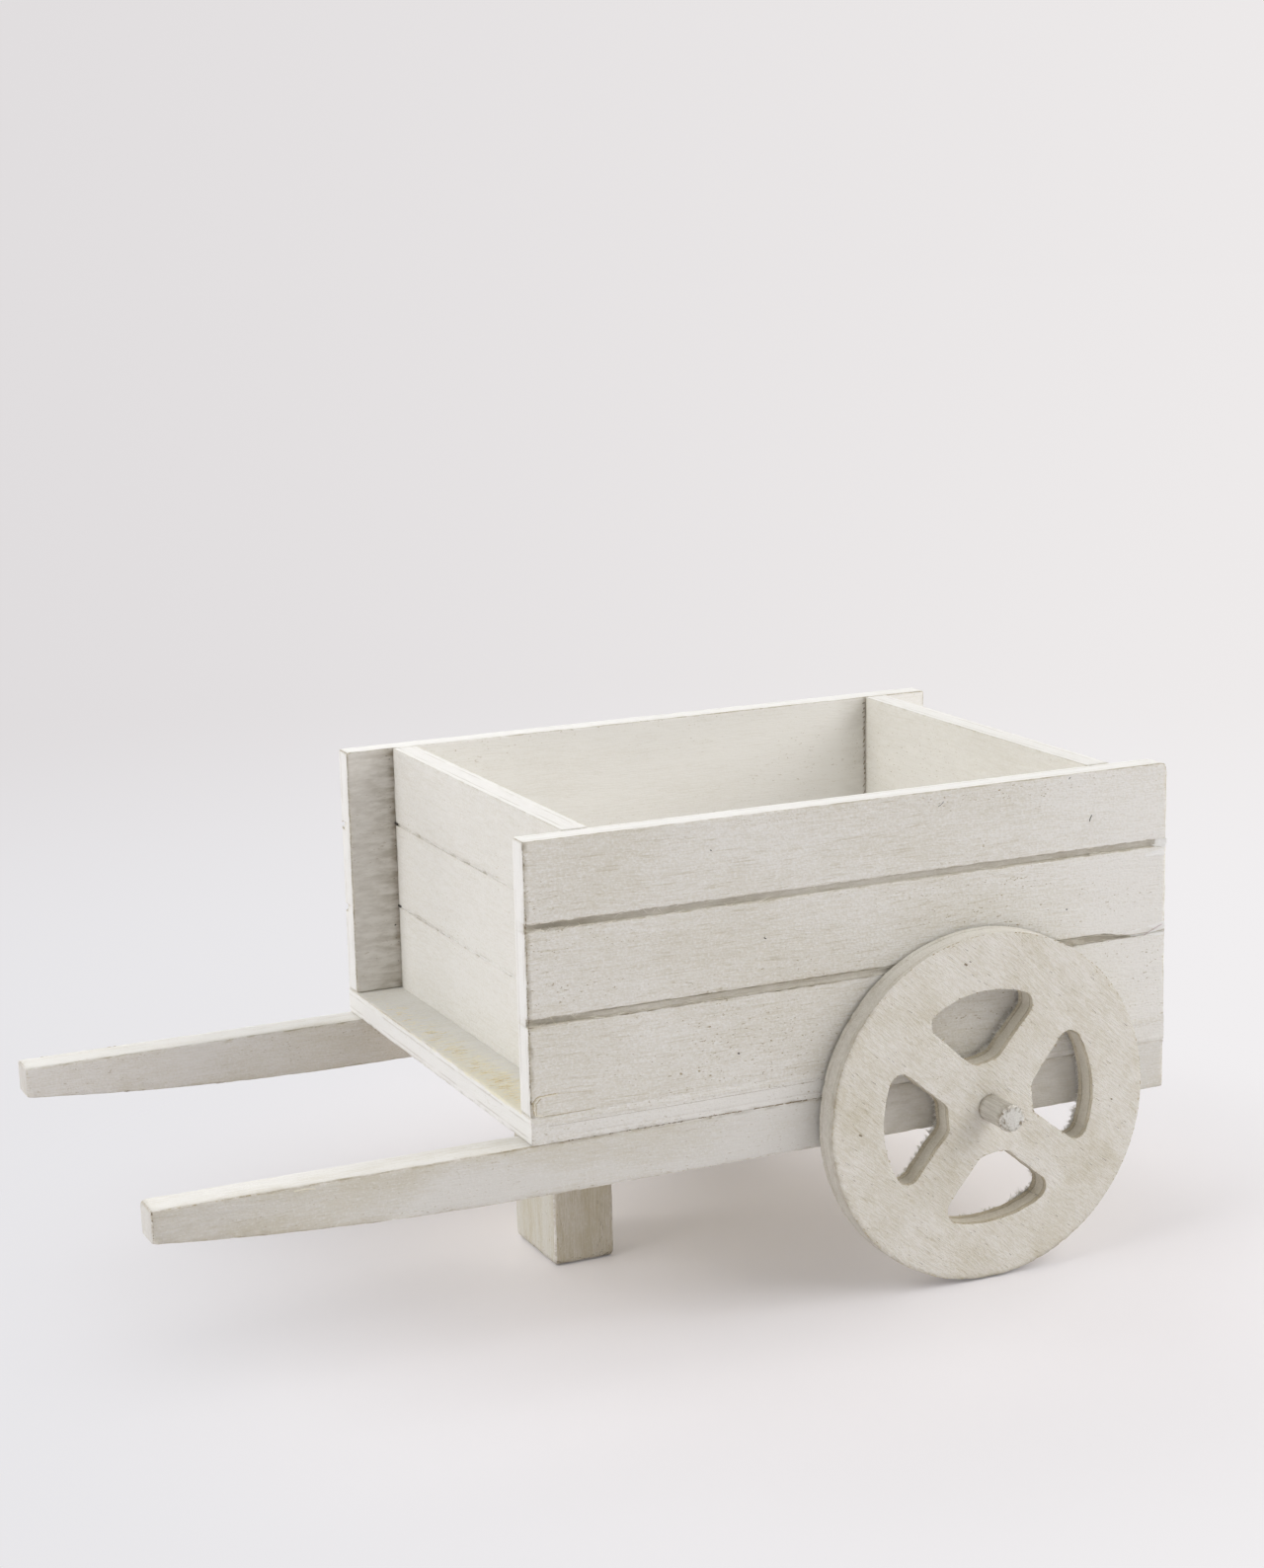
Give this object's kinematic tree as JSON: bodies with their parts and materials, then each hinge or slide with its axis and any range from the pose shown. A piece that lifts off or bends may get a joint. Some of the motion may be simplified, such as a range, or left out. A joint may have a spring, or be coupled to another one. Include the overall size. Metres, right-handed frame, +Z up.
{
  "type": "miniature two-wheeled cart",
  "caption": "Small open tray cart in whitewashed plywood with grooved plank sides, spoked disc wheels on a dowel axle, a prop leg and a pair of tapered shafts.",
  "frame": {"origin": "on the ground, at the middle of the cart's length and width", "axes": "+X forward along the shafts, +Y to the cart's left, +Z up"},
  "size_m": [0.2426, 0.1492, 0.113],
  "materials": {
    "painted_ply": "thin matt whitewash over plywood, grain showing through",
    "painted_wheel": "thin matt whitewash over plywood, layers showing on the cut edges",
    "painted_batten": "thin matt whitewash over softwood",
    "painted_dowel": "matt whitewash over a beech dowel"
  },
  "bodies": {
    "cart": {"floor_board": "painted_ply", "side_panel_left": "painted_ply", "side_panel_right": "painted_ply", "front_panel": "painted_ply", "rear_panel": "painted_ply", "shaft_left": "painted_batten", "shaft_right": "painted_batten", "leg": "painted_batten"},
    "wheelset": {"axle": "painted_dowel", "wheel_left": "painted_wheel", "wheel_right": "painted_wheel"}
  },
  "joints": [
    {"name": "wheelset_roll", "type": "hinge", "parent": "cart", "child": "wheelset", "pos_m": [-0.0698, 0, 0.0405], "axis": [0, 1, 0], "continuous": true}
  ]
}
